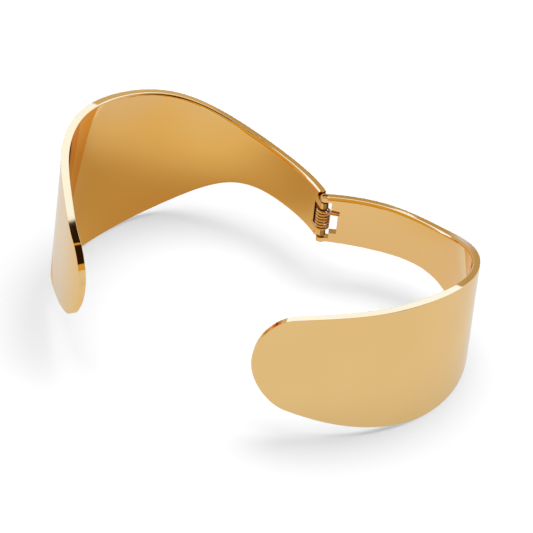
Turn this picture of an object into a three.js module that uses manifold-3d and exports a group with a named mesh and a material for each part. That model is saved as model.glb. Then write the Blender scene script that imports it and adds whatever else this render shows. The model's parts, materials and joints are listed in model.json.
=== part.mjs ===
// Hinged cuff bracelet, open at its hinge and lying on its side as it rests on a table.
// Units are millimetres. +Z is up, +X runs along the bracelet's open width, +Y points away from
// the opening. The origin is under the middle of the bracelet, on the surface it lies on.
//
// Both halves are drawn in the band frame: its z axis is the hinge axis, and z = 0 is half way
// up the band at the hinge. The finished bracelet is then leaned over until it rests.

import * as THREE from 'three';
import { mergeVertices } from 'three/addons/utils/BufferGeometryUtils.js';
import Module from 'manifold-3d';

const wasm = await Module();
wasm.setup();

// ---- Driving dimensions -------------------------------------------------------------------

const WALL = 1.5;                 // thickness of the bent plate
const HINGE_HALF_HEIGHT = 5.0;    // half the band's height where it is hinged

const LUG_RADIUS = 0.85;          // rounded ends of the right half, around the pin
const LUG_HEIGHT = 1.0;
const KNUCKLE_RADIUS = 0.82;      // the left half's two knuckles, between the lugs
const KNUCKLES = [
  { name: 'upper', low: 2.3, high: 3.75 },
  { name: 'lower', low: -3.6, high: -2.2 },
];
const PIN_RADIUS = 0.42;
const PIN_CLEARANCE = 0.05;
const PIN_INSET = 0.1;            // the pin's ends sit this far inside the lugs' faces

// Distances along each plate are from the pin's axis.
const RIGHT_SHOULDER = 1.4;       // the right plate stops here beside the knuckles
const RIGHT_POCKET = { edge: 2.75, low: -2.8, high: 1.65 };
const LEFT_END = 1.6;             // the left plate stops here beside the lugs
const LEFT_POCKET = { edge: 2.45, low: -2.2, high: 2.3 };

const SPRING = {
  meanRadius: 1.2,
  wireRadius: 0.2,
  low: -1.9,
  high: 2.0,
  fullTurns: 6,
  rightLegReach: 3.0,
  rightLegDrop: 0.3,
  leftLegReach: 2.2,
};

// How far the bracelet leans when it lies on its side: the two halves differ in height, so the
// hinge axis isn't upright.
const LEAN_ABOUT_X = -2.9;
const LEAN_ABOUT_Y = 4.9;

// A half is a plate bent along its length. Its stations are evenly spaced from the pin's axis to
// the tip. bend is in degrees turned per millimetre, half is half the plate's height, and rise is
// how far the middle of the plate lies above the middle of the hinge.
const RIGHT_HALF = {
  name: 'right_half',
  length: 92.3,
  heading: -2.0,
  turn: -1,
  tipLength: 7.0,
  stations: [
    { bend: 0.94, half: 5.0, rise: 0.0 },
    { bend: 2.02, half: 5.1, rise: 0.0 },
    { bend: 2.67, half: 5.3, rise: 0.0 },
    { bend: 2.58, half: 8.6, rise: 0.0 },
    { bend: 2.61, half: 11.4, rise: 0.0 },
    { bend: 2.36, half: 13.1, rise: 0.0 },
    { bend: 2.28, half: 12.8, rise: 0.0 },
    { bend: 1.15, half: 11.1, rise: 0.0 },
    { bend: -0.30, half: 8.2, rise: 0.0 },
  ],
};
const LEFT_HALF = {
  name: 'left_half',
  length: 95.4,
  heading: 108.0,
  turn: 1,
  tipLength: 4.0,
  stations: [
    { bend: 2.71, half: 5.0, rise: 0.0 },
    { bend: 1.75, half: 5.0, rise: 0.2 },
    { bend: 2.37, half: 6.5, rise: 1.2 },
    { bend: 2.82, half: 11.8, rise: 0.5 },
    { bend: 1.90, half: 15.1, rise: -0.2 },
    { bend: 2.49, half: 15.7, rise: 0.1 },
    { bend: 1.72, half: 13.3, rise: 0.9 },
    { bend: 0.31, half: 10.5, rise: 1.3 },
    { bend: 4.20, half: 6.6, rise: 1.5 },
  ],
};

// How finely curves are cut into flat faces.
const STATION_STEP = 1.6;
const HEADING_STEPS = 400;
const TIP_STEPS = 9;
const TIP_LAST_ANGLE = 84;        // degrees; the tip's last face is the short chord beyond this
const ROUND_SIDES = 32;
const WIRE_SIDES = 8;
const WIRE_STEPS_PER_TURN = 16;

const GOLD = new THREE.MeshStandardMaterial({ color: 0xdfb36a, roughness: 0.12, metalness: 1.0 });
const SPRING_WIRE = new THREE.MeshStandardMaterial({ color: 0xb98c46, roughness: 0.3, metalness: 1.0 });

// ---- Curves -------------------------------------------------------------------------------

// A natural cubic spline through evenly spaced values, as a function of t from 0 to 1.
function smoothColumn(values) {
  const last = values.length - 1;
  const curvature = new Array(values.length).fill(0);
  const pivot = new Array(values.length).fill(0);
  for (let i = 1; i < last; i += 1) {
    const second = values[i - 1] - 2 * values[i] + values[i + 1];
    pivot[i] = 1 / (4 - pivot[i - 1]);
    curvature[i] = (6 * second - curvature[i - 1]) * pivot[i];
  }
  for (let i = last - 1; i > 0; i -= 1) {
    curvature[i] -= pivot[i] * curvature[i + 1];
  }
  return (t) => {
    const i = Math.min(Math.floor(t * last), last - 1);
    const b = t * last - i;
    const a = 1 - b;
    const bow = ((a ** 3 - a) * curvature[i] + (b ** 3 - b) * curvature[i + 1]) / 6;
    return a * values[i] + b * values[i + 1] + bow;
  };
}

// The middle line of a half seen from above, as points with the distance from the pin's axis and
// the heading there in radians.
function centreLine(half) {
  const bend = smoothColumn(half.stations.map((row) => row.bend));
  const step = half.length / HEADING_STEPS;
  const line = [{ distance: 0, heading: THREE.MathUtils.degToRad(half.heading), x: 0, y: 0 }];
  for (let i = 1; i <= HEADING_STEPS; i += 1) {
    const before = line[i - 1];
    const turned = half.turn * bend((i - 0.5) / HEADING_STEPS) * step;
    const heading = before.heading + THREE.MathUtils.degToRad(turned);
    const middle = (heading + before.heading) / 2;
    line.push({
      distance: i * step,
      heading,
      x: before.x + Math.cos(middle) * step,
      y: before.y + Math.sin(middle) * step,
    });
  }
  return line;
}

function pointOnLine(line, distance) {
  const step = line[1].distance;
  const i = Math.min(Math.floor(distance / step), line.length - 2);
  const t = distance / step - i;
  const mix = (key) => line[i][key] * (1 - t) + line[i + 1][key] * t;
  return { heading: mix('heading'), x: mix('x'), y: mix('y') };
}

// Distances of the plate's cross-sections, with the share of its height that each one keeps: all
// of it along the band, and less towards the tip, which is half an ellipse.
function crossSections(half) {
  const tipStart = half.length - half.tipLength;
  const count = Math.ceil(tipStart / STATION_STEP);
  const sections = [];
  for (let i = 0; i <= count; i += 1) {
    sections.push({ distance: (tipStart * i) / count, share: 1 });
  }
  for (let i = 1; i <= TIP_STEPS; i += 1) {
    const angle = THREE.MathUtils.degToRad((TIP_LAST_ANGLE * i) / TIP_STEPS);
    sections.push({ distance: tipStart + half.tipLength * Math.sin(angle), share: Math.cos(angle) });
  }
  return sections;
}

// ---- Solids -------------------------------------------------------------------------------

// A closed solid through rings of four corners, with a flat face at each end.
function solidThroughRings(rings) {
  const positions = rings.flat(2);
  const faces = [];
  for (let i = 0; i + 1 < rings.length; i += 1) {
    for (let j = 0; j < 4; j += 1) {
      const a = 4 * i + j;
      const b = 4 * i + ((j + 1) % 4);
      faces.push(a, b + 4, b, a, a + 4, b + 4);
    }
  }
  const end = 4 * (rings.length - 1);
  faces.push(0, 1, 2, 0, 2, 3);
  faces.push(end, end + 2, end + 1, end, end + 3, end + 2);
  const geometry = new THREE.BufferGeometry();
  geometry.setAttribute('position', new THREE.Float32BufferAttribute(positions, 3));
  geometry.setIndex(faces);
  return geometry;
}

// The whole bent plate of a half, from the pin's axis to the tip, before the hinge is cut.
function bentPlate(half) {
  const line = centreLine(half);
  const height = smoothColumn(half.stations.map((row) => row.half));
  const rise = smoothColumn(half.stations.map((row) => row.rise));
  const rings = crossSections(half).map(({ distance, share }) => {
    const { heading, x, y } = pointOnLine(line, distance);
    const t = distance / half.length;
    const top = rise(t) + height(t) * share;
    const bottom = rise(t) - height(t) * share;
    const sideX = (-Math.sin(heading) * WALL) / 2;
    const sideY = (Math.cos(heading) * WALL) / 2;
    return [
      [x - sideX, y - sideY, bottom],
      [x - sideX, y - sideY, top],
      [x + sideX, y + sideY, top],
      [x + sideX, y + sideY, bottom],
    ];
  });
  return solidThroughRings(rings);
}

function toManifold(geometry) {
  geometry.deleteAttribute('normal');
  geometry.deleteAttribute('uv');
  const merged = mergeVertices(geometry, 1e-5);
  return new wasm.Manifold(new wasm.Mesh({
    numProp: 3,
    vertProperties: new Float32Array(merged.attributes.position.array),
    triVerts: new Uint32Array(merged.index.array),
  }));
}

function toGeometry(manifold) {
  const mesh = manifold.getMesh();
  const geometry = new THREE.BufferGeometry();
  geometry.setAttribute('position', new THREE.Float32BufferAttribute(mesh.vertProperties, 3));
  geometry.setIndex(new THREE.Uint32BufferAttribute(mesh.triVerts, 1));
  geometry.computeVertexNormals();
  return geometry;
}

// A round bar on the pin's axis.
function roundBar(radius, low, high) {
  const geometry = new THREE.CylinderGeometry(radius, radius, high - low, ROUND_SIDES);
  geometry.rotateX(Math.PI / 2);
  geometry.translate(0, 0, (low + high) / 2);
  return geometry;
}

// A block that clears a plate around the pin's axis: from well behind the axis to reach, measured
// along the plate's heading.
function clearingBlock(half, reach, low, high) {
  const behind = 2 * WALL;
  const across = 4 * WALL;
  const geometry = new THREE.BoxGeometry(reach + behind, across, high - low);
  geometry.translate((reach - behind) / 2, 0, (low + high) / 2);
  geometry.rotateZ(THREE.MathUtils.degToRad(half.heading));
  return toManifold(geometry);
}

const LUG_INNER_FACE = HINGE_HALF_HEIGHT - LUG_HEIGHT;
const BEYOND_BAND = HINGE_HALF_HEIGHT + 1;

function pinBore() {
  return toManifold(roundBar(PIN_RADIUS + PIN_CLEARANCE, -BEYOND_BAND, BEYOND_BAND));
}

// The right half: the plate, a window for the spring and the knuckles, and a lug at each edge.
function rightHalfGeometry() {
  const lowerLug = roundBar(LUG_RADIUS, -HINGE_HALF_HEIGHT, -LUG_INNER_FACE);
  const upperLug = roundBar(LUG_RADIUS, LUG_INNER_FACE, HINGE_HALF_HEIGHT);
  const { edge, low, high } = RIGHT_POCKET;
  const solid = toManifold(bentPlate(RIGHT_HALF))
    .subtract(clearingBlock(RIGHT_HALF, RIGHT_SHOULDER, -LUG_INNER_FACE, LUG_INNER_FACE))
    .subtract(clearingBlock(RIGHT_HALF, edge, low, high))
    .add(toManifold(lowerLug))
    .add(toManifold(upperLug))
    .subtract(pinBore());
  return toGeometry(solid);
}

// The left half: the plate, cut back beside the lugs and the spring, with two knuckles left.
function leftHalfGeometry() {
  const [upper, lower] = KNUCKLES;
  const { edge, low, high } = LEFT_POCKET;
  let solid = toManifold(bentPlate(LEFT_HALF))
    .subtract(clearingBlock(LEFT_HALF, LEFT_END, upper.high, BEYOND_BAND))
    .subtract(clearingBlock(LEFT_HALF, LEFT_END, -BEYOND_BAND, lower.low))
    .subtract(clearingBlock(LEFT_HALF, edge, low, high));
  for (const knuckle of KNUCKLES) {
    solid = solid.add(toManifold(roundBar(KNUCKLE_RADIUS, knuckle.low, knuckle.high)));
  }
  return toGeometry(solid.subtract(pinBore()));
}

function hingePinGeometry() {
  const end = HINGE_HALF_HEIGHT - PIN_INSET;
  return roundBar(PIN_RADIUS, -end, end);
}

// The torsion spring's wire: a leg along the inside of the left plate, the coil around the pin,
// and a leg across the window to the inside of the right plate.
class SpringWire extends THREE.Curve {
  constructor() {
    super();
    const leftHeading = THREE.MathUtils.degToRad(LEFT_HALF.heading);
    const rightHeading = THREE.MathUtils.degToRad(RIGHT_HALF.heading);
    this.leftHeading = leftHeading;
    this.rightHeading = rightHeading;
    this.start = leftHeading + Math.PI / 2;
    this.end = rightHeading + 1.5 * Math.PI + SPRING.fullTurns * 2 * Math.PI;
    this.coilLength = (this.end - this.start) * SPRING.meanRadius;
    this.length = SPRING.leftLegReach + this.coilLength + SPRING.rightLegReach;
  }

  coilPoint(angle) {
    const t = (angle - this.start) / (this.end - this.start);
    const x = SPRING.meanRadius * Math.cos(angle);
    const y = SPRING.meanRadius * Math.sin(angle);
    return new THREE.Vector3(x, y, SPRING.low + t * (SPRING.high - SPRING.low));
  }

  getPoint(t) {
    const along = t * this.length - SPRING.leftLegReach;
    if (along < 0) {
      const leg = new THREE.Vector3(Math.cos(this.leftHeading), Math.sin(this.leftHeading), 0);
      return this.coilPoint(this.start).addScaledVector(leg, -along);
    }
    if (along <= this.coilLength) {
      return this.coilPoint(this.start + along / SPRING.meanRadius);
    }
    const past = along - this.coilLength;
    const drop = -SPRING.rightLegDrop / SPRING.rightLegReach;
    const leg = new THREE.Vector3(Math.cos(this.rightHeading), Math.sin(this.rightHeading), drop);
    return this.coilPoint(this.end).addScaledVector(leg, past);
  }
}

function hingeSpringGeometry() {
  const section = new THREE.Shape();
  section.absarc(0, 0, SPRING.wireRadius, 0, 2 * Math.PI, false);
  const wire = new SpringWire();
  const turnLength = 2 * Math.PI * SPRING.meanRadius;
  return new THREE.ExtrudeGeometry(section, {
    curveSegments: WIRE_SIDES / 2,
    steps: Math.ceil((wire.length / turnLength) * WIRE_STEPS_PER_TURN),
    extrudePath: wire,
  });
}

// ---- The bracelet -------------------------------------------------------------------------

function namedMesh(name, geometry, material) {
  const mesh = new THREE.Mesh(geometry, material);
  mesh.name = name;
  return mesh;
}

// Leans the bracelet over and stands it on z = 0, with the middle of its box on the z axis.
function layOnItsSide(bracelet) {
  bracelet.rotation.set(
    THREE.MathUtils.degToRad(LEAN_ABOUT_X),
    THREE.MathUtils.degToRad(LEAN_ABOUT_Y),
    0,
  );
  bracelet.updateMatrixWorld(true);
  const box = new THREE.Box3().setFromObject(bracelet, true);
  const middle = box.getCenter(new THREE.Vector3());
  bracelet.position.set(-middle.x, -middle.y, -box.min.z);
}

const bracelet = new THREE.Group();
bracelet.add(namedMesh(RIGHT_HALF.name, rightHalfGeometry(), GOLD));
bracelet.add(namedMesh(LEFT_HALF.name, leftHalfGeometry(), GOLD));
bracelet.add(namedMesh('hinge_pin', hingePinGeometry(), GOLD));
bracelet.add(namedMesh('hinge_spring', hingeSpringGeometry(), SPRING_WIRE));
layOnItsSide(bracelet);

const cuffBracelet = new THREE.Group();
cuffBracelet.add(bracelet);

export default cuffBracelet;
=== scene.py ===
import json
import bmesh
import bpy
import numpy as np
from math import asin, atan2, cos, degrees, pi, radians, sin
from mathutils import Matrix, Vector


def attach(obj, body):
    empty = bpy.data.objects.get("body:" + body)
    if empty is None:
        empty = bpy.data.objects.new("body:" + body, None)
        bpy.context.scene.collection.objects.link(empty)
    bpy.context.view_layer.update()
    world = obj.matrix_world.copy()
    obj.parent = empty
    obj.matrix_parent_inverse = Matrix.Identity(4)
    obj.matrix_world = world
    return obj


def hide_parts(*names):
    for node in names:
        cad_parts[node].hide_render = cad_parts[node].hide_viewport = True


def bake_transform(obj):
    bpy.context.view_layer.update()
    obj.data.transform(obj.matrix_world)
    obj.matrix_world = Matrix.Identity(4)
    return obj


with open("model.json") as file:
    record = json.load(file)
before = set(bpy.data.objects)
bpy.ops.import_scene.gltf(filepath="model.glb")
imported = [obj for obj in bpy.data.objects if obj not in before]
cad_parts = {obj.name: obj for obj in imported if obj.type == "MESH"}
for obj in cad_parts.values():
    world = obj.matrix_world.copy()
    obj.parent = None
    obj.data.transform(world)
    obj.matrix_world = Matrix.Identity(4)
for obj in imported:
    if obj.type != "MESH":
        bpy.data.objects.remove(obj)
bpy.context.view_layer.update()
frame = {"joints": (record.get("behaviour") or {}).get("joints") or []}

MM = 0.001

# ---- The bracelet's dimensions, in millimetres, as in the CAD part --------------------------
#
# Both halves are drawn in the band frame: z is the hinge axis and z = 0 is half way up the band.

WALL = 1.47                 # the bent plate, 0.03 thinner than in the CAD, so that it stays inside
LUG_RADIUS = 0.85
LUG_LOW, LUG_HIGH = 4.0, 4.98
KNUCKLE_RADIUS = 0.82
KNUCKLES = ((2.3, 3.75), (-3.6, -2.2))
PIN_RADIUS = 0.42
PIN_HALF_LENGTH = 4.9
PIN_EDGE = 0.12
PIN_DOME = 0.04             # how far the pin's end bulges inside its rounded edge
BORE_RADIUS = 0.47
BEYOND_BAND = 6.0
BEHIND_AXIS = 3.0
ACROSS_PLATE = 3.0

# The cut faces within this distance of the pin's axis and of the band's middle get painted shade,
# darkened as if in shadow. A face counts as cut if its normal's share across the plate is less
# than CUT_FACING.
POCKET_REACH, POCKET_HALF_HEIGHT = 3.2, 4.2
CUT_FACING = 0.6

SPRING = dict(
    mean_radius=1.2, wire_radius=0.2, low=-1.9, high=2.0, full_turns=6,
    right_reach=3.0, right_drop=0.3, left_reach=2.2,
)
LEAN_ABOUT_X, LEAN_ABOUT_Y = -2.9, 4.9

# Each half's third entry is the strength of the painted shade on its cut faces round the spring.
RIGHT_HALF = dict(
    name="right_half", body="right_body", painted_shade=0.3, length=92.3, heading=-2.0, turn=-1, tip=7.0,
    inner_side=-1,
    bend=(0.94, 2.02, 2.67, 2.58, 2.61, 2.36, 2.28, 1.15, -0.30),
    half=(5.0, 5.1, 5.3, 8.6, 11.4, 13.1, 12.8, 11.1, 8.2),
    rise=(0.0,) * 9,
    # reach from the pin's axis, low and high of each block cut away
    cuts=((1.4, -4.0, 4.0), (2.75, -2.8, 1.65)),
    barrels=((LUG_RADIUS, LUG_LOW, LUG_HIGH), (LUG_RADIUS, -LUG_HIGH, -LUG_LOW)),
)
LEFT_HALF = dict(
    name="left_half", body="left_body", painted_shade=1.0, length=95.4, heading=108.0, turn=1, tip=4.0,
    inner_side=1,
    bend=(2.71, 1.75, 2.37, 2.82, 1.90, 2.49, 1.72, 0.31, 4.20),
    half=(5.0, 5.0, 6.5, 11.8, 15.1, 15.7, 13.3, 10.5, 6.6),
    rise=(0.0, 0.2, 1.2, 0.5, -0.2, 0.1, 0.9, 1.3, 1.5),
    cuts=((1.6, 3.75, BEYOND_BAND), (1.6, -BEYOND_BAND, -3.6), (2.45, -2.2, 2.3)),
    barrels=tuple((KNUCKLE_RADIUS, low, high) for low, high in KNUCKLES),
)

# Softened edges: the plate's inner edge is rounded off more than its outer one.
INNER_EDGE_DOWN, INNER_EDGE_ACROSS = 0.62, 0.52
OUTER_EDGE = 0.06
# from SOFT_TO of the length, over the next CRISP_OVER of it, the inner edge loses this share
SOFT_TO, CRISP_OVER, CRISPNESS = 0.45, 0.17, 0.8
RIM_EDGE = 0.10
RIM_STEPS = 4
CUT_EDGE = 0.07
EDGE_STEPS = 7
COLUMN_STEP = 0.45
ROWS = 9
TIP_COLUMNS = 26
SHARP_ANGLE = 35.0
BARREL_SIDES = 64
WIRE_SIDES = 14
WIRE_END_ANGLES = (20, 40, 60, 76)
WIRE_STEPS_PER_TURN = 44
LEFT_LEG_STEPS, RIGHT_LEG_STEPS = 14, 16
HEADING_STEPS = 2000
POINTS_AT_ONCE = 2000


# ---- Curves -----------------------------------------------------------------------------------

def smooth_column(values):
    """A natural cubic spline through evenly spaced values, as a function of t from 0 to 1."""
    last = len(values) - 1
    curvature = [0.0] * len(values)
    pivot = [0.0] * len(values)
    for i in range(1, last):
        second = values[i - 1] - 2 * values[i] + values[i + 1]
        pivot[i] = 1 / (4 - pivot[i - 1])
        curvature[i] = (6 * second - curvature[i - 1]) * pivot[i]
    for i in range(last - 1, 0, -1):
        curvature[i] -= pivot[i] * curvature[i + 1]

    def at(t):
        i = min(int(t * last), last - 1)
        b = t * last - i
        a = 1 - b
        bow = ((a ** 3 - a) * curvature[i] + (b ** 3 - b) * curvature[i + 1]) / 6
        return a * values[i] + b * values[i + 1] + bow

    return at


def centre_line(half):
    """The half's middle line from above: distance, heading, x and y in arrays."""
    bend = smooth_column(half["bend"])
    step = half["length"] / HEADING_STEPS
    middles = (np.arange(HEADING_STEPS) + 0.5) / HEADING_STEPS
    turned = np.radians(half["turn"] * np.array([bend(t) for t in middles]) * step)
    heading = np.concatenate([[0.0], np.cumsum(turned)]) + radians(half["heading"])
    middle = (heading[1:] + heading[:-1]) / 2
    x = np.concatenate([[0.0], np.cumsum(np.cos(middle) * step)])
    y = np.concatenate([[0.0], np.cumsum(np.sin(middle) * step)])
    return dict(distance=np.arange(HEADING_STEPS + 1) * step, heading=heading, x=x, y=y)


def place(line, s, n, z):
    """Points at distance s along a half, n to its left side and height z."""
    last = line["distance"][-1]
    inside = np.clip(s, 0, last)
    heading = np.interp(inside, line["distance"], line["heading"])
    x = np.interp(inside, line["distance"], line["x"]) + (s - inside) * np.cos(heading)
    y = np.interp(inside, line["distance"], line["y"]) + (s - inside) * np.sin(heading)
    return np.stack([x - np.sin(heading) * n, y + np.cos(heading) * n, z + 0 * x], -1)


# ---- Meshes in the band frame, and their way to the row frame ----------------------------------

JOINT = next(j for j in frame["joints"] if j["name"] == "cuff_hinge")
TO_ROW = (
    Matrix.Translation(Vector(JOINT["pos_m"]))
    @ Matrix.Rotation(radians(LEAN_ABOUT_X), 4, "X")
    @ Matrix.Rotation(radians(LEAN_ABOUT_Y), 4, "Y")
    @ Matrix.Scale(MM, 4)
)


def new_object(name, points, faces):
    mesh = bpy.data.meshes.new(name)
    mesh.from_pydata([tuple(p) for p in points], [], faces)
    mesh.validate()
    made = bpy.data.objects.new(name, mesh)
    bpy.context.scene.collection.objects.link(made)
    bm = bmesh.new()
    bm.from_mesh(mesh)
    bmesh.ops.recalc_face_normals(bm, faces=bm.faces)
    bm.to_mesh(mesh)
    bm.free()
    return made


def edge_profile(t):
    """The band's edge from its inner face to its outer face: (inset from the outline, depth).

    The inner edge is rounded most near the hinge and is crisper towards the tip."""
    turns = [pi / 2 * i / EDGE_STEPS for i in range(EDGE_STEPS + 1)]
    soft = 1 - CRISPNESS * min(max((t - SOFT_TO) / CRISP_OVER, 0.0), 1.0)
    down, across = INNER_EDGE_DOWN * soft, INNER_EDGE_ACROSS * soft
    inner = [(down * (1 - sin(a)), across * (1 - cos(a))) for a in turns]
    outer = [(OUTER_EDGE * (1 - cos(a)), WALL - OUTER_EDGE * (1 - sin(a))) for a in turns]
    return inner + outer


def outline(half):
    """Top and bottom outline points in (s, z) with their outward normals, from hinge to tip."""
    height = smooth_column(half["half"])
    rise = smooth_column(half["rise"])
    length, tip = half["length"], half["tip"]
    start = length - tip

    def point(u, side):
        if u <= 0:
            s, share = start + u, 1.0
        else:
            s, share = start + tip * sin(u), cos(u)
        t = min(max(s / length, 0.0), 1.0)
        return np.array([s, rise(t) + side * height(t) * share])

    count = int(round(start / COLUMN_STEP))
    band = [-start * (1 - i / count) for i in range(count)]
    bow = [-1e-9] + [pi / 2 * i / TIP_COLUMNS for i in range(1, TIP_COLUMNS + 1)]
    rings = []
    for u in band + bow:
        ring = {}
        for side, name in ((1, "top"), (-1, "bottom")):
            reach = 1e-3
            low = max(u - reach, -start)
            tangent = point(min(u + reach, pi / 2), side) - point(low, side)
            normal = side * np.array([-tangent[1], tangent[0]])
            ring[name] = (point(u, side), normal / np.linalg.norm(normal))
        rings.append(ring)
    end = rings[-1]
    tip_point = (end["top"][0] + end["bottom"][0]) / 2
    for name in ("top", "bottom"):
        end[name] = (tip_point, np.array([1.0, 0.0]))
    return rings


def plate(half, line):
    """The bent plate of a half as a closed mesh, with softened long edges and tip."""
    rings = outline(half)
    points, faces = [], []

    def add(sz, depth):
        """Adds a point at (distance, height) and depth below the inner face."""
        n = half["inner_side"] * (WALL / 2 - depth)
        points.append(place(line, np.array(sz[0]), n, sz[1]))
        return len(points) - 1

    columns = []
    for ring in rings:
        profile = edge_profile(ring["top"][0][0] / half["length"])
        top = [ring["top"][0] - e * ring["top"][1] for e, _ in profile]
        bottom = [ring["bottom"][0] - e * ring["bottom"][1] for e, _ in profile]
        depths = [d for _, d in profile]
        if ring is rings[-1]:
            # the tip is one edge, met by both faces and by the edges above and below
            edge = [add(p, d) for p, d in zip(top, depths)]
            loop = [edge[0]] * (ROWS - 1) + edge + [edge[-1]] * (ROWS - 1) + edge[-2:0:-1]
        else:
            # up the inner face, over the top edge, down the outer face, back under the bottom
            loop = []
            for j in range(ROWS - 1):
                loop.append(add(bottom[0] + (top[0] - bottom[0]) * j / (ROWS - 1), 0.0))
            loop += [add(p, d) for p, d in zip(top, depths)]
            for j in range(1, ROWS):
                down = bottom[-1] + (top[-1] - bottom[-1]) * (1 - j / (ROWS - 1))
                loop.append(add(down, WALL))
            loop += [add(p, d) for p, d in zip(bottom[-2:0:-1], depths[-2:0:-1])]
        columns.append(loop)

    size = len(columns[0])
    for a, b in zip(columns, columns[1:]):
        for j in range(size):
            k = (j + 1) % size
            corner = [a[j], a[k], b[k], b[j]]
            face = [v for i, v in enumerate(corner) if v != corner[i - 1]]
            if len(set(face)) >= 3:
                faces.append(face)
    faces.append(columns[0][::-1])
    return new_object(half["name"] + "_visual", points, faces)


def lathe(name, profile):
    """A closed solid turned about the hinge axis from (radius, z) points that end on the axis."""
    sides = BARREL_SIDES
    points = [(0.0, 0.0, profile[0][1])]
    faces = []
    rings = []
    for radius, z in profile[1:-1]:
        first = len(points)
        for i in range(sides):
            a = 2 * pi * i / sides
            points.append((radius * cos(a), radius * sin(a), z))
        rings.append(list(range(first, first + sides)))
    points.append((0.0, 0.0, profile[-1][1]))
    top = len(points) - 1
    for i in range(sides):
        k = (i + 1) % sides
        faces.append([0, rings[0][k], rings[0][i]])
        faces.append([top, rings[-1][i], rings[-1][k]])
        for a, b in zip(rings, rings[1:]):
            faces.append([a[i], a[k], b[k], b[i]])
    return new_object(name, points, faces)


def barrel(radius, low, high):
    """A round barrel with softened rims."""
    turns = [pi / 2 * i / RIM_STEPS for i in range(RIM_STEPS + 1)]
    rim = [(radius - RIM_EDGE * (1 - sin(a)), RIM_EDGE * (1 - cos(a))) for a in turns]
    profile = [(0, low)] + [(r, low + d) for r, d in rim]
    profile += [(r, high - d) for r, d in rim[::-1]] + [(0, high)]
    return lathe("barrel", profile)


def block(half, reach, low, high):
    """A block round the hinge axis, along the half's heading, as far as reach."""
    a = radians(half["heading"])
    corners = []
    for z in (low, high):
        for x, y in ((-BEHIND_AXIS, -1), (reach, -1), (reach, 1), (-BEHIND_AXIS, 1)):
            across = y * ACROSS_PLATE
            corners.append((x * cos(a) - across * sin(a), x * sin(a) + across * cos(a), z))
    faces = [(3, 2, 1, 0), (4, 5, 6, 7)]
    faces += [(i, (i + 1) % 4, (i + 1) % 4 + 4, i + 4) for i in range(4)]
    return new_object("block", corners, faces)


def apply_modifiers(target):
    graph = bpy.context.evaluated_depsgraph_get()
    result = bpy.data.meshes.new_from_object(target.evaluated_get(graph))
    target.modifiers.clear()
    old = target.data
    target.data = result
    bpy.data.meshes.remove(old)


def combine(target, tool, operation):
    made = target.modifiers.new(operation, "BOOLEAN")
    made.operation = operation
    made.solver = "EXACT"
    made.object = tool
    apply_modifiers(target)
    bpy.data.objects.remove(tool)


def finish_surface(target, cut_edge=0.0):
    """Breaks the cut edges, then shades smoothly everywhere but on sharp edges."""
    if cut_edge:
        made = target.modifiers.new("cut edges", "BEVEL")
        made.width = cut_edge
        made.segments = 2
        made.limit_method = "ANGLE"
        made.angle_limit = radians(SHARP_ANGLE)
        made.harden_normals = False
        apply_modifiers(target)
    mesh = target.data
    mesh.polygons.foreach_set("use_smooth", [True] * len(mesh.polygons))
    mesh.set_sharp_from_angle(angle=radians(SHARP_ANGLE))
    weighted = target.modifiers.new("weighted", "WEIGHTED_NORMAL")
    weighted.keep_sharp = True
    weighted.weight = 50
    apply_modifiers(target)


def bracelet_half(half):
    line = centre_line(half)
    made = plate(half, line)
    for reach, low, high in half["cuts"]:
        combine(made, block(half, reach, low, high), "DIFFERENCE")
    for radius, low, high in half["barrels"]:
        combine(made, barrel(radius, low, high), "UNION")
    bore = [(0, -BEYOND_BAND), (BORE_RADIUS, -BEYOND_BAND), (BORE_RADIUS, BEYOND_BAND)]
    combine(made, lathe("bore", bore + [(0, BEYOND_BAND)]), "DIFFERENCE")
    finish_surface(made, CUT_EDGE)
    add_band_attribute(made, line)
    # painted shade: the cut faces round the spring are darkened as if in shadow
    paint_crevice_shade(made, cut_face(half, half["painted_shade"]))
    return made


def add_band_attribute(target, line):
    """Stores each point's distance along the band, offset across it and height, in metres."""
    mesh = target.data
    co = np.zeros(len(mesh.vertices) * 3)
    mesh.vertices.foreach_get("co", co)
    co = co.reshape(-1, 3)
    path = np.stack([line["x"], line["y"]], -1)
    band = np.zeros_like(co)
    for first in range(0, len(co), POINTS_AT_ONCE):
        some = slice(first, first + POINTS_AT_ONCE)
        part = co[some]
        gap = ((part[:, None, :2] - path[None]) ** 2).sum(-1)
        nearest = gap.argmin(1)
        heading = line["heading"][nearest]
        away = part[:, :2] - path[nearest]
        band[some, 0] = line["distance"][nearest] + (
            away[:, 0] * np.cos(heading) + away[:, 1] * np.sin(heading)
        )
        band[some, 1] = -away[:, 0] * np.sin(heading) + away[:, 1] * np.cos(heading)
        band[some, 2] = part[:, 2]
    attribute = mesh.attributes.new("band", "FLOAT_VECTOR", "POINT")
    attribute.data.foreach_set("vector", (band * MM).astype(np.float32).ravel())


def wire_path():
    """The spring's centre line: left leg, coil, right leg."""
    left = radians(LEFT_HALF["heading"])
    right = radians(RIGHT_HALF["heading"])
    start = left + pi / 2
    end = right + 1.5 * pi + SPRING["full_turns"] * 2 * pi
    radius = SPRING["mean_radius"]

    def coil(angle):
        t = (angle - start) / (end - start)
        z = SPRING["low"] + t * (SPRING["high"] - SPRING["low"])
        return np.array([radius * cos(angle), radius * sin(angle), z])

    steps = int((end - start) / (2 * pi) * WIRE_STEPS_PER_TURN)
    path = []
    for i in range(LEFT_LEG_STEPS):
        reach = SPRING["left_reach"] * (1 - i / LEFT_LEG_STEPS)
        path.append(coil(start) + reach * np.array([cos(left), sin(left), 0.0]))
    path += [coil(start + (end - start) * i / steps) for i in range(steps + 1)]
    drop = -SPRING["right_drop"] / SPRING["right_reach"]
    for i in range(1, RIGHT_LEG_STEPS + 1):
        reach = SPRING["right_reach"] * i / RIGHT_LEG_STEPS
        path.append(coil(end) + reach * np.array([cos(right), sin(right), drop]))
    return np.array(path)


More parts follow.
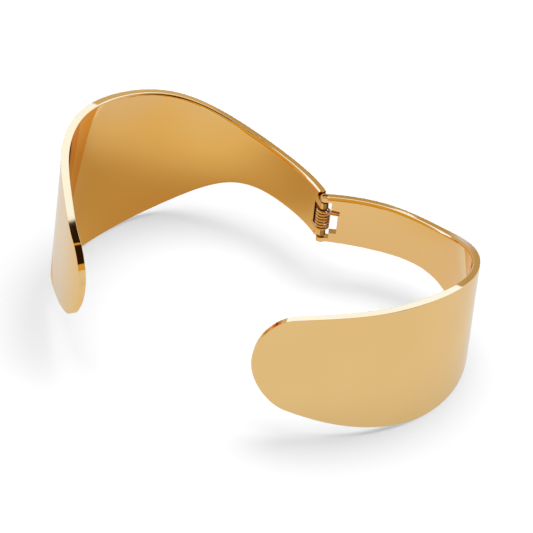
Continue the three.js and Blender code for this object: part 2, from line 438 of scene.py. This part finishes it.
def wire(name, path, radius):
    """A round wire along a path, with rounded ends."""
    tangents = np.gradient(path, axis=0)
    tangents /= np.linalg.norm(tangents, axis=1)[:, None]
    side = np.cross(tangents[0], (0, 0, 1.0))
    side /= np.linalg.norm(side)
    rings = []
    for p, t in zip(path, tangents):
        side = side - t * (side @ t)
        side /= np.linalg.norm(side)
        rings.append((p, t, side, 1.0))

    # each end is a dome one radius long, in place of the rings that it covers
    first, last = rings[0], rings[-1]
    dome = [(cos(a), sin(a)) for a in map(radians, WIRE_END_ANGLES)]
    start = [(first[0] + first[1] * radius * (1 - h), *first[1:3], c) for c, h in dome[::-1]]
    finish = [(last[0] - last[1] * radius * (1 - h), *last[1:3], c) for c, h in dome]

    def past_start(p):
        away = p - first[0]
        return away @ first[1] > radius or np.linalg.norm(away) > 3 * radius

    def before_finish(p):
        return np.linalg.norm(p - last[0]) > radius * 1.05

    rings = start + [r for r in rings if past_start(r[0]) and before_finish(r[0])] + finish
    points, faces = [], []
    for p, t, u, scale in rings:
        w = np.cross(t, u)
        for i in range(WIRE_SIDES):
            a = 2 * pi * i / WIRE_SIDES
            points.append(p + radius * scale * (cos(a) * u + sin(a) * w))
    for j in range(len(rings) - 1):
        for i in range(WIRE_SIDES):
            k = (i + 1) % WIRE_SIDES
            a, b = j * WIRE_SIDES, (j + 1) * WIRE_SIDES
            faces.append([a + i, a + k, b + k, b + i])
    faces.append(list(range(WIRE_SIDES))[::-1])
    end = (len(rings) - 1) * WIRE_SIDES
    faces.append([end + i for i in range(WIRE_SIDES)])
    return new_object(name, points, faces)


def paint_crevice_shade(target, near):
    """Marks the faces that near(centre, normal) picks, as 1 in the attribute "crevice": there the
    gold gets painted shade, darkened as if in shadow.
    """
    mesh = target.data
    mark = mesh.attributes.new("painted_shade", "FLOAT", "FACE")
    values = [near(face.center, face.normal) for face in mesh.polygons]
    mark.data.foreach_set("value", values)


def cut_face(half, depth):
    """The faces that the hinge's blocks left in a half: those that do not face in or out. They get
    depth as painted shade.
    """
    a = radians(half["heading"])
    out = Vector((-sin(a), cos(a), 0))

    def near(centre, normal):
        from_axis = (centre.x ** 2 + centre.y ** 2) ** 0.5
        close = from_axis < POCKET_REACH and abs(centre.z) < POCKET_HALF_HEIGHT
        return depth if close and abs(normal.dot(out)) < CUT_FACING else 0.0

    return near


def inside_coil(centre, normal):
    """How squarely a face of the wire looks at the hinge's axis, used as painted shade on the
    inside of the coil.
    """
    away = Vector((centre.x, centre.y, 0)).normalized()
    return min(max(0.5 - 0.9 * normal.dot(away), 0.0), 1.0)


def to_row_frame(target):
    target.data.transform(TO_ROW)
    target.data.update()


# ---- Materials ----------------------------------------------------------------------------------

class Nodes:
    """Small helper for building node trees."""

    def __init__(self, material):
        material.use_nodes = True
        self.tree = material.node_tree
        self.tree.nodes.clear()

    def add(self, kind, **settings):
        node = self.tree.nodes.new(kind)
        for key, value in settings.items():
            setattr(node, key, value)
        return node

    def link(self, a, b):
        self.tree.links.new(a, b)


# The colour that the gold is multiplied by where shade is painted into its crevices.
PAINTED_SHADE_COLOUR = (0.42, 0.34, 0.24)
PATCHES_PER_METRE = 55.0
LINES_PER_METRE = (35.0, 5200.0, 5200.0)
WAVES_PER_METRE = 160.0
WAVE_DEPTH = 8e-6


def gold(name, colour, deep_colour, roughness, roughness_spread, polish_depth):
    """Polished metal: faint polishing lines along the band and a slight waviness."""
    material = bpy.data.materials.new(name)
    n = Nodes(material)
    out = n.add("ShaderNodeOutputMaterial")
    shader = n.add("ShaderNodeBsdfPrincipled")
    shader.inputs["Metallic"].default_value = 1.0
    shader.inputs["IOR"].default_value = 1.5
    n.link(shader.outputs[0], out.inputs[0])
    place_node = n.add("ShaderNodeTexCoord")
    band = n.add("ShaderNodeAttribute", attribute_name="band")

    # colour: the plating is a touch deeper in soft patches
    patches = n.add("ShaderNodeTexNoise")
    patches.inputs["Scale"].default_value = PATCHES_PER_METRE
    patches.inputs["Detail"].default_value = 3.0
    n.link(place_node.outputs["Object"], patches.inputs["Vector"])
    ramp = n.add("ShaderNodeValToRGB")
    ramp.color_ramp.elements[0].position = 0.35
    ramp.color_ramp.elements[0].color = (*deep_colour, 1)
    ramp.color_ramp.elements[1].position = 0.65
    ramp.color_ramp.elements[1].color = (*colour, 1)
    n.link(patches.outputs["Fac"], ramp.inputs["Fac"])

    # painted shade: the cut faces round the spring and the inside of its coil are darkened as if
    # in shadow
    painted_shade = n.add("ShaderNodeAttribute", attribute_name="painted_shade")
    painted_shade_mix = n.add("ShaderNodeMix", data_type="RGBA", blend_type="MULTIPLY")
    n.link(painted_shade.outputs["Fac"], painted_shade_mix.inputs[0])
    n.link(ramp.outputs["Color"], painted_shade_mix.inputs[6])
    painted_shade_mix.inputs[7].default_value = (*PAINTED_SHADE_COLOUR, 1)
    n.link(painted_shade_mix.outputs[2], shader.inputs["Base Color"])

    # polishing lines run along the band: long in distance, fine across and up
    stretch = n.add("ShaderNodeMapping")
    stretch.inputs["Scale"].default_value = LINES_PER_METRE
    n.link(band.outputs["Vector"], stretch.inputs["Vector"])
    lines = n.add("ShaderNodeTexNoise")
    lines.inputs["Scale"].default_value = 1.0
    lines.inputs["Detail"].default_value = 4.0
    lines.inputs["Roughness"].default_value = 0.6
    n.link(stretch.outputs["Vector"], lines.inputs["Vector"])

    spread = n.add("ShaderNodeMapRange")
    spread.inputs["From Min"].default_value = 0.3
    spread.inputs["From Max"].default_value = 0.7
    spread.inputs["To Min"].default_value = roughness
    spread.inputs["To Max"].default_value = roughness + roughness_spread
    n.link(lines.outputs["Fac"], spread.inputs["Value"])
    n.link(spread.outputs["Result"], shader.inputs["Roughness"])

    # waviness of the polished sheet, some 6 mm from crest to crest
    waves = n.add("ShaderNodeTexNoise")
    waves.inputs["Scale"].default_value = WAVES_PER_METRE
    waves.inputs["Detail"].default_value = 1.0
    n.link(place_node.outputs["Object"], waves.inputs["Vector"])
    wavy = n.add("ShaderNodeBump")
    wavy.inputs["Strength"].default_value = 1.0
    wavy.inputs["Distance"].default_value = WAVE_DEPTH
    n.link(waves.outputs["Fac"], wavy.inputs["Height"])
    brushed = n.add("ShaderNodeBump")
    brushed.inputs["Strength"].default_value = 1.0
    brushed.inputs["Distance"].default_value = polish_depth
    n.link(lines.outputs["Fac"], brushed.inputs["Height"])
    n.link(wavy.outputs["Normal"], brushed.inputs["Normal"])
    n.link(brushed.outputs["Normal"], shader.inputs["Normal"])
    return material


polished_gold = gold(
    "polished_gold", (0.950, 0.640, 0.272), (0.935, 0.620, 0.256), 0.035, 0.03, 1.6e-7
)
pin_gold = gold("pin_gold", (0.60, 0.37, 0.13), (0.46, 0.27, 0.09), 0.14, 0.12, 6e-7)
spring_gold = gold("spring_wire", (0.90, 0.55, 0.21), (0.75, 0.42, 0.13), 0.14, 0.10, 4e-7)


def dress(target, material, slot, body, *nodes):
    target.data.materials.clear()
    target.data.materials.append(material)
    to_row_frame(target)
    if body:
        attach(target, body)
    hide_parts(*nodes)
    target.visible_diffuse = False


# ---- The pieces ---------------------------------------------------------------------------------

for half in (RIGHT_HALF, LEFT_HALF):
    dress(bracelet_half(half), polished_gold, "polished_gold", half["body"], half["name"])


def pin_profile():
    """Half outline of the pin, (radius, z), with rounded edges and slightly domed ends."""
    low = [(0, -PIN_HALF_LENGTH), (PIN_RADIUS * 0.5, -PIN_HALF_LENGTH + 0.015)]
    for a in (pi / 2 * i / 5 for i in range(6)):
        inset, up = PIN_EDGE * (1 - sin(a)), PIN_EDGE * (1 - cos(a))
        low.append((PIN_RADIUS - inset, -PIN_HALF_LENGTH + PIN_DOME + up))
    return low + [(r, -z) for r, z in low[::-1]]


pin = lathe("hinge_pin_visual", pin_profile())
finish_surface(pin)
dress(pin, pin_gold, "hinge_gold", "right_body", "hinge_pin")

spring = wire("hinge_spring_visual", wire_path(), SPRING["wire_radius"])
finish_surface(spring)
# painted shade: the inside of the coil is darkened as if in shadow
paint_crevice_shade(spring, inside_coil)
dress(spring, spring_gold, "spring_wire", None, "hinge_spring")


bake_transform(spring)


# ---- Floor, light and camera -----------------------------------------------------------------

HIDDEN_FROM = ("camera", "diffuse", "transmission", "volume_scatter", "shadow")


def stage_mesh(name, points, faces, material):
    mesh = bpy.data.meshes.new(name)
    mesh.from_pydata([tuple(p) for p in points], [], faces)
    mesh.materials.append(material)
    made = bpy.data.objects.new(name, mesh)
    bpy.context.scene.collection.objects.link(made)
    return made


def glow_material(name):
    """Light of the colour stored on the mesh."""
    material = bpy.data.materials.new(name)
    n = Nodes(material)
    out = n.add("ShaderNodeOutputMaterial")
    glow = n.add("ShaderNodeEmission")
    stored = n.add("ShaderNodeAttribute", attribute_name="light")
    n.link(stored.outputs["Color"], glow.inputs["Color"])
    n.link(glow.outputs[0], out.inputs[0])
    return material


def show_only_in_gloss(target):
    for ray in HIDDEN_FROM:
        setattr(target, "visible_" + ray, False)


def reflection_card(name, grid, colour_at):
    """A card that shows only in reflections. grid is rows of points; colour_at gives its light."""
    rows, columns = len(grid), len(grid[0])
    points = [p for row in grid for p in row]
    faces = []
    for j in range(rows - 1):
        for i in range(columns - 1):
            a = j * columns + i
            faces.append((a, a + 1, a + columns + 1, a + columns))
    card = stage_mesh(name, points, faces, glow_material(name))
    light = card.data.attributes.new("light", "FLOAT_COLOR", "POINT")
    values = [c for p in points for c in (*colour_at(Vector(p)), 1.0)]
    light.data.foreach_set("color", values)
    show_only_in_gloss(card)


def mix(a, b, t):
    """From a to b, smoothly, as t goes from 0 to 1."""
    t = min(max(t, 0.0), 1.0)
    t = t * t * (3 - 2 * t)
    return tuple(x * (1 - t) + y * t for x, y in zip(a, b))


BRIGHT = (1.06, 1.44, 2.60)
SIDE = (0.76, 0.77, 0.85)
ORANGE = (0.67, 0.435, 0.078)
BROWN = (0.51, 0.41, 0.23)
TAN = (0.64, 0.57, 0.44)
PALE = (0.69, 0.81, 1.25)
BLACK = (0.024, 0.011, 0.002)
# azimuth from and to, elevation from and to
BLACK_PANELS = ((18.5, 60, 50, 73), (60, 104, 52, 68), (104, 141, 12, 66))
# the line between the part of the dome behind and the part in front
PANEL_LEAN, PANEL_BLUR = 0.44, 0.012


def dome_light(p):
    """A bright panel behind and above, black panels on the right, orange overhead and in front."""
    d = p.normalized()
    elevation = degrees(asin(max(-1.0, min(1.0, d.z))))
    azimuth = degrees(atan2(d.x, d.y))
    in_front = mix(SIDE, ORANGE, (abs(azimuth) - 80) / 30)
    if elevation > 20:
        in_front = mix(in_front, ORANGE, (elevation - 20) / 20)
    for west, east, low, high in BLACK_PANELS:
        if west < azimuth < east and low < elevation < high:
            return BLACK
    behind = mix(SIDE, BRIGHT, (elevation - 10) / 4)
    return mix(in_front, behind, (d.y - PANEL_LEAN * d.z) / PANEL_BLUR + 0.5)


DOME = 0.7                  # metres
dome_grid = [
    [
        (
            DOME * cos(radians(e)) * sin(radians(a)),
            DOME * cos(radians(e)) * cos(radians(a)),
            DOME * sin(radians(e)),
        )
        for a in range(-180, 181)
    ]
    for e in range(91)
]
reflection_card("dome", dome_grid, dome_light)


# millimetres
BACK_FLAG_Y = 62.0
BACK_FLAG_TOP, PEAK, PEAK_X, PEAK_HALF_WIDTH = 50.7, 3.5, 12, 30
PATCH_X, PATCH_Z, PATCH_RADIUS = 30, 16, 10


def back_flag_light(p):
    """Brown, paler to the left, with a pale patch low behind the right half."""
    x, z = p.x / MM, p.z / MM
    near = ((x - PATCH_X) / PATCH_RADIUS) ** 2 + ((z - PATCH_Z) / PATCH_RADIUS) ** 2
    brown = mix(TAN, BROWN, (x - 6) / 9)
    return mix(PALE, brown, (near ** 0.5 - 0.5) / 0.9)


def back_flag_top(x):
    """The card's height, with a low peak behind the hinge."""
    return BACK_FLAG_TOP + PEAK * max(0.0, 1 - abs(x - PEAK_X) / PEAK_HALF_WIDTH)


flag_x = [-80 + 4 * i for i in range(45)]
flag_grid = [
    [(x * MM, BACK_FLAG_Y * MM, back_flag_top(x) * j / 12 * MM) for x in flag_x]
    for j in range(13)
]
reflection_card("back_flag", flag_grid, back_flag_light)


def hollow_light(p):
    """Painted reflection of the floor inside the bracelet: warmed by the gold round it, with
    painted shade that is darkest at the back on the left.
    """
    x, y = p.x / MM, p.y / MM
    warm = mix((0.78, 0.77, 0.77), (0.76, 0.62, 0.35), (y + 30) / 44)
    deep = mix((0.51, 0.350, 0.145), (0.72, 0.60, 0.38), (x + 14) / 16)
    warm = mix(warm, deep, (y - 6) / 20)
    plain = mix((0.81, 0.78, 0.76), (0.75, 0.68, 0.63), (y + 24) / 36)
    return mix(warm, plain, (x + 2) / 14)


def hollow_outline():
    """Under the walls of both halves, from one tip to the other; past the lifted left one."""
    edge = []
    for half, order, beyond in ((LEFT_HALF, -1, 6.0), (RIGHT_HALF, 1, 0.0)):
        line = centre_line(half)
        s = np.linspace(1.0, half["length"] - 0.5, 90)
        ramp = np.clip((half["length"] - s) / 45, 0, 1) * beyond
        foot = place(line, s, -half["inner_side"] * ramp, -JOINT["pos_m"][2] / MM + 0 * s)
        edge += [TO_ROW @ Vector(p) for p in foot[::order]]
    return edge


HOLLOW_CENTRE = Vector((0.0, 5.0, 0)) * MM
HOLLOW_RINGS, MOUTH_STEPS = 18, 12
FLOOR_GAP = 0.2 * MM
hollow_grid = []
hollow_edge = hollow_outline()
mouth = [
    hollow_edge[-1].lerp(hollow_edge[0], i / MOUTH_STEPS) for i in range(1, MOUTH_STEPS + 1)
]
for j in range(HOLLOW_RINGS + 1):
    ring = [HOLLOW_CENTRE.lerp(p, j / HOLLOW_RINGS) for p in hollow_edge + mouth]
    hollow_grid.append([(p.x, p.y, FLOOR_GAP) for p in ring])
# a painted reflection of the floor inside the bracelet, with painted shade near the walls
reflection_card("hollow_floor_painted_reflection", hollow_grid, hollow_light)

FLOOR = 3.0                 # metres, half the floor's side


def floor_sheet(name, colour, glow, height):
    """A level sheet that reflects the light on it and adds a little light of its own."""
    material = bpy.data.materials.new(name)
    n = Nodes(material)
    out = n.add("ShaderNodeOutputMaterial")
    shader = n.add("ShaderNodeBsdfDiffuse")
    shader.inputs["Color"].default_value = (*colour, 1)
    own = n.add("ShaderNodeEmission")
    own.inputs["Color"].default_value = (1.0, 1.0, 1.0, 1)
    own.inputs["Strength"].default_value = glow
    both = n.add("ShaderNodeAddShader")
    n.link(shader.outputs[0], both.inputs[0])
    n.link(own.outputs[0], both.inputs[1])
    n.link(both.outputs[0], out.inputs[0])
    corners = [(-FLOOR, -FLOOR), (FLOOR, -FLOOR), (FLOOR, FLOOR), (-FLOOR, FLOOR)]
    return stage_mesh(name, [(x, y, height) for x, y in corners], [(0, 1, 2, 3)], material)


# The floor is a shade darker in the gold than it is to the eye.
floor_sheet("floor", (0.88, 0.88, 0.88), 0.0, 0.0).visible_glossy = False
mirrored_floor = floor_sheet("mirrored_floor", (0.32, 0.317, 0.32), 0.395, FLOOR_GAP / 2)
show_only_in_gloss(mirrored_floor)

WORLD_STRENGTH = 0.58

world = bpy.data.worlds.new("studio")
bpy.context.scene.world = world
world.use_nodes = True
background = world.node_tree.nodes["Background"]
background.inputs["Color"].default_value = (1.0, 1.0, 1.0, 1)
background.inputs["Strength"].default_value = WORLD_STRENGTH


def soft_sun(name, azimuth, elevation, energy, angle):
    """A sun so wide that it throws only soft shadows; it is never mirrored in the gold."""
    data = bpy.data.lights.new(name, "SUN")
    data.energy = energy
    data.angle = radians(angle)
    data.cycles.use_multiple_importance_sampling = False
    sun = bpy.data.objects.new(name, data)
    bpy.context.scene.collection.objects.link(sun)
    sun.rotation_euler = (radians(90 - elevation), 0, radians(180 - azimuth))
    sun.visible_glossy = False


soft_sun("right_key", 75.0, 68.0, 0.85, 46.0)
soft_sun("back_key", 10.0, 76.0, 1.25, 46.0)

CAMERA_AIM = Vector((0.00068, 0.00797, 0.00571))
CAMERA_DISTANCE = 1.0664
CAMERA_AZIMUTH, CAMERA_ELEVATION, CAMERA_ROLL = -0.40, 39.03, 0.641
CAMERA_LENS = 389.15

camera_data = bpy.data.cameras.new("camera")
camera_data.lens = CAMERA_LENS
camera_data.sensor_width = 36.0
camera_data.clip_start = 0.05
camera_data.clip_end = 20.0
camera = bpy.data.objects.new("camera", camera_data)
bpy.context.scene.collection.objects.link(camera)
a, e = radians(CAMERA_AZIMUTH), radians(CAMERA_ELEVATION)
back = Vector((sin(a) * cos(e), -cos(a) * cos(e), sin(e)))
level = Vector((cos(a), sin(a), 0))
up = back.cross(level)
roll = radians(CAMERA_ROLL)
right = level * cos(roll) + up * sin(roll)
up = back.cross(right)
at = CAMERA_AIM + back * CAMERA_DISTANCE
camera.matrix_world = Matrix(
    ((right.x, up.x, back.x, at.x), (right.y, up.y, back.y, at.y),
     (right.z, up.z, back.z, at.z), (0, 0, 0, 1))
)
bpy.context.scene.camera = camera

view = bpy.context.scene.view_settings
view.view_transform = "Standard"
view.look = "None"
view.exposure = 0.0
view.gamma = 1.0
